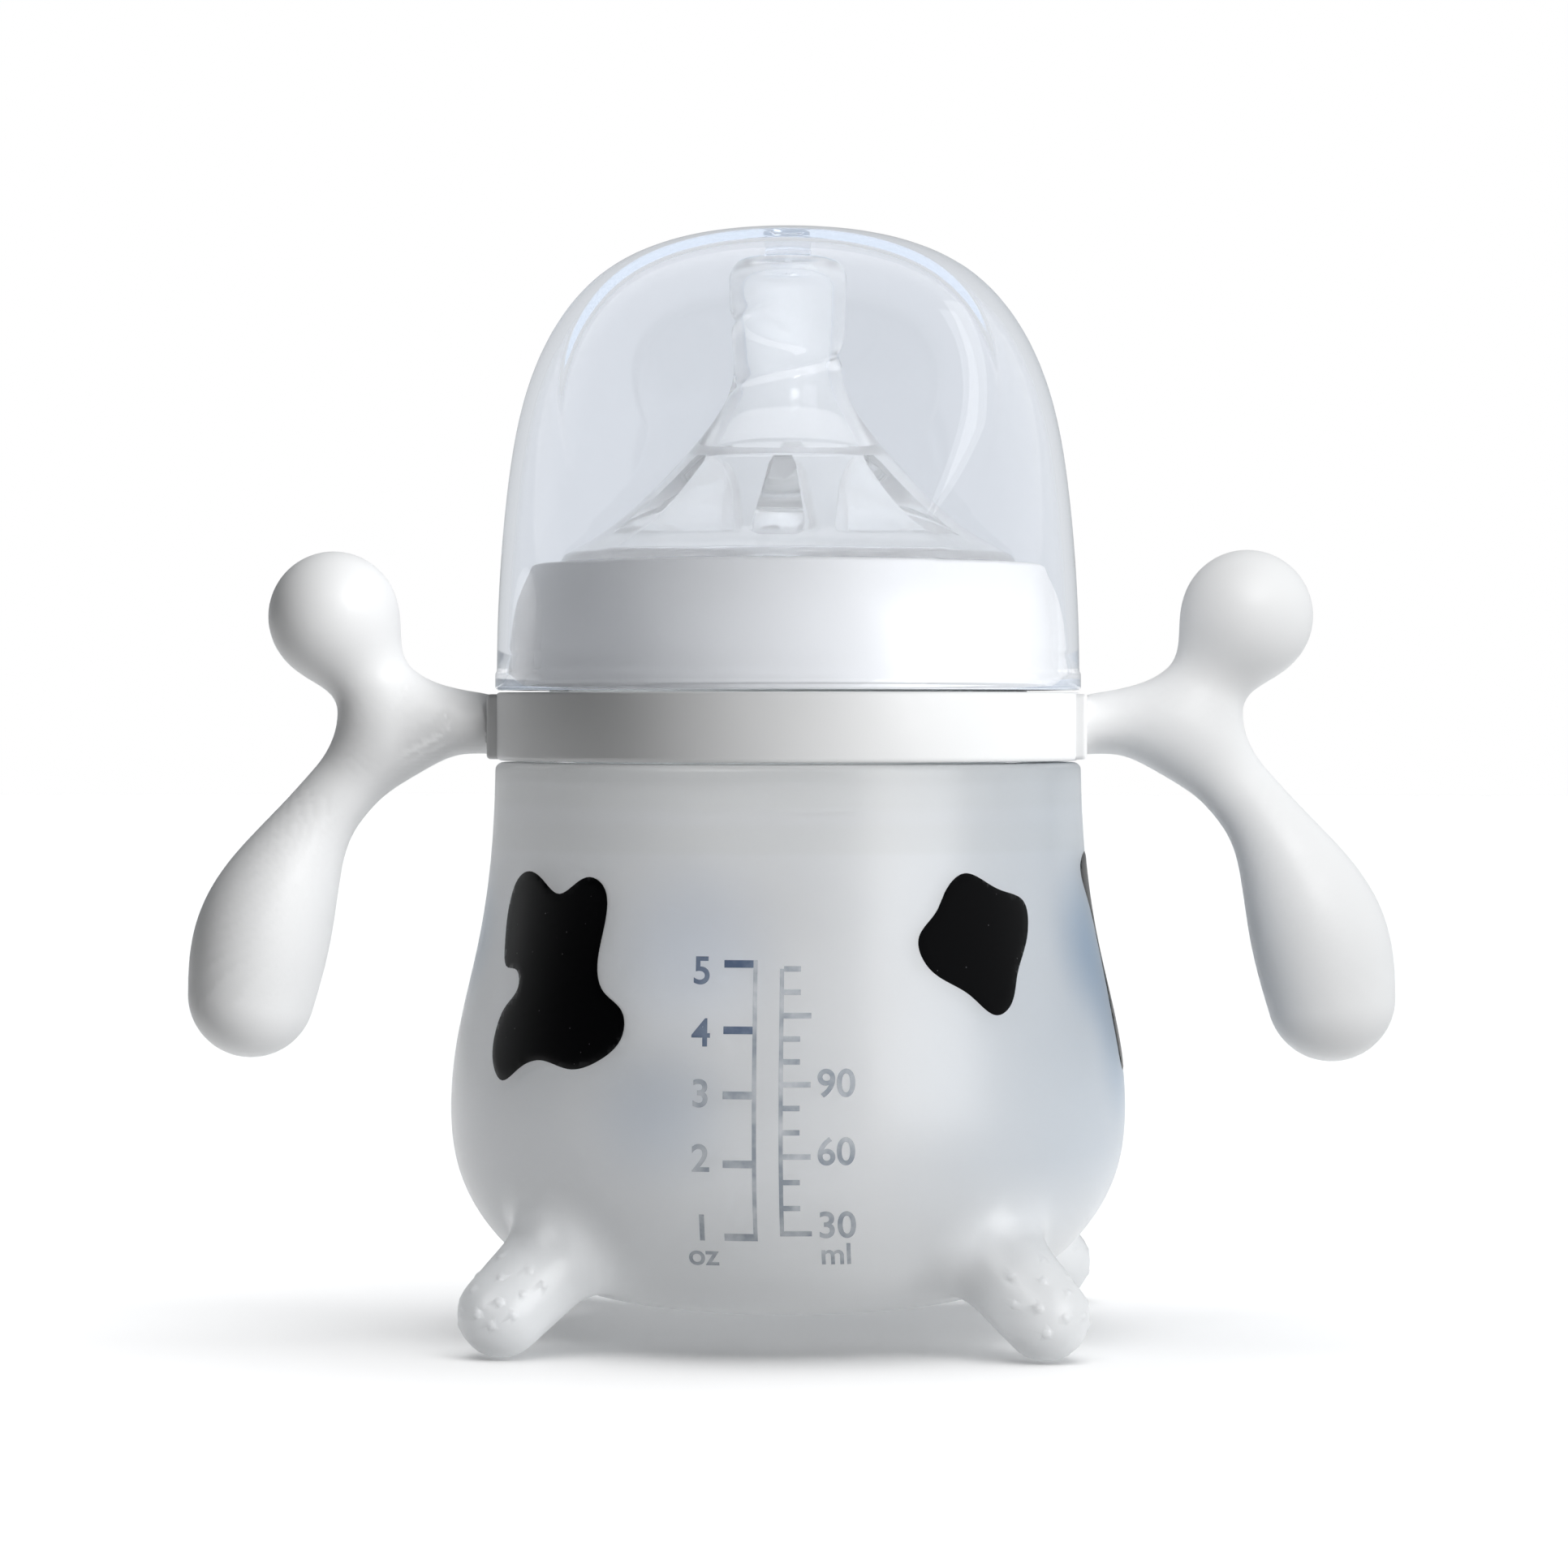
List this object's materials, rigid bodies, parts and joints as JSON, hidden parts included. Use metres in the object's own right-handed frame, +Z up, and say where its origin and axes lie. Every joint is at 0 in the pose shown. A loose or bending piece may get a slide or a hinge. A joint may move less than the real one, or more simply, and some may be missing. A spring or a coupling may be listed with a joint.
{
  "type": "infant feeding bottle with handles",
  "caption": "Wide-neck feeding bottle with clear dome cap, silicone teat, screw collar, turning ring with two handles, and a frosted sleeve with cow spots and stub feet.",
  "frame": {"origin": "on the axis of the bottle, level with the soles of its feet", "axes": "+Z up along the bottle's axis, handles along X, front with the printed scale towards -Y"},
  "size_m": [0.1421, 0.079, 0.1289],
  "materials": {
    "clear_cap": "polished clear plastic",
    "teat": "clear silicone, glossy",
    "white_collar": "white, low gloss",
    "white_handles": "white, soft satin",
    "bottle_glass": "clear, smooth",
    "sleeve": "frosted translucent silicone",
    "cow_spot": "gloss black with fine specks"
  },
  "bodies": {
    "bottle": {"bottle": "bottle_glass", "sleeve": "sleeve", "cow_spot_front_left": "cow_spot", "cow_spot_front_right": "cow_spot", "cow_spot_right": "cow_spot", "cow_spot_left": "cow_spot", "cow_spot_back_upper": "cow_spot", "cow_spot_back_lower": "cow_spot"},
    "handles": {"handle_ring": "white_handles", "handle_left": "white_handles", "handle_right": "white_handles"},
    "teat": {"teat": "teat"},
    "collar": {"collar": "white_collar"},
    "cap": {"dust_cap": "clear_cap"}
  },
  "joints": [
    {"name": "handles_turn", "type": "hinge", "parent": "bottle", "child": "handles", "pos_m": [0, 0, 0.0705], "axis": [0, 0, 1], "continuous": true},
    {"name": "teat_lift", "type": "slide", "parent": "bottle", "child": "teat", "axis": [0, 0, 1], "range_m": [0, 0.0063]},
    {"name": "collar_unscrew", "type": "hinge", "parent": "teat", "child": "collar", "pos_m": [0, 0, 0.082], "axis": [0, 0, 1], "range_deg": [0, 450]},
    {"name": "cap_pull", "type": "slide", "parent": "collar", "child": "cap", "axis": [0, 0, 1], "range_m": [0, 0.06]}
  ],
  "couplings": [
    {"joint": "teat_lift", "follows": "collar_unscrew", "m_per_rad": 0.00079577}
  ]
}
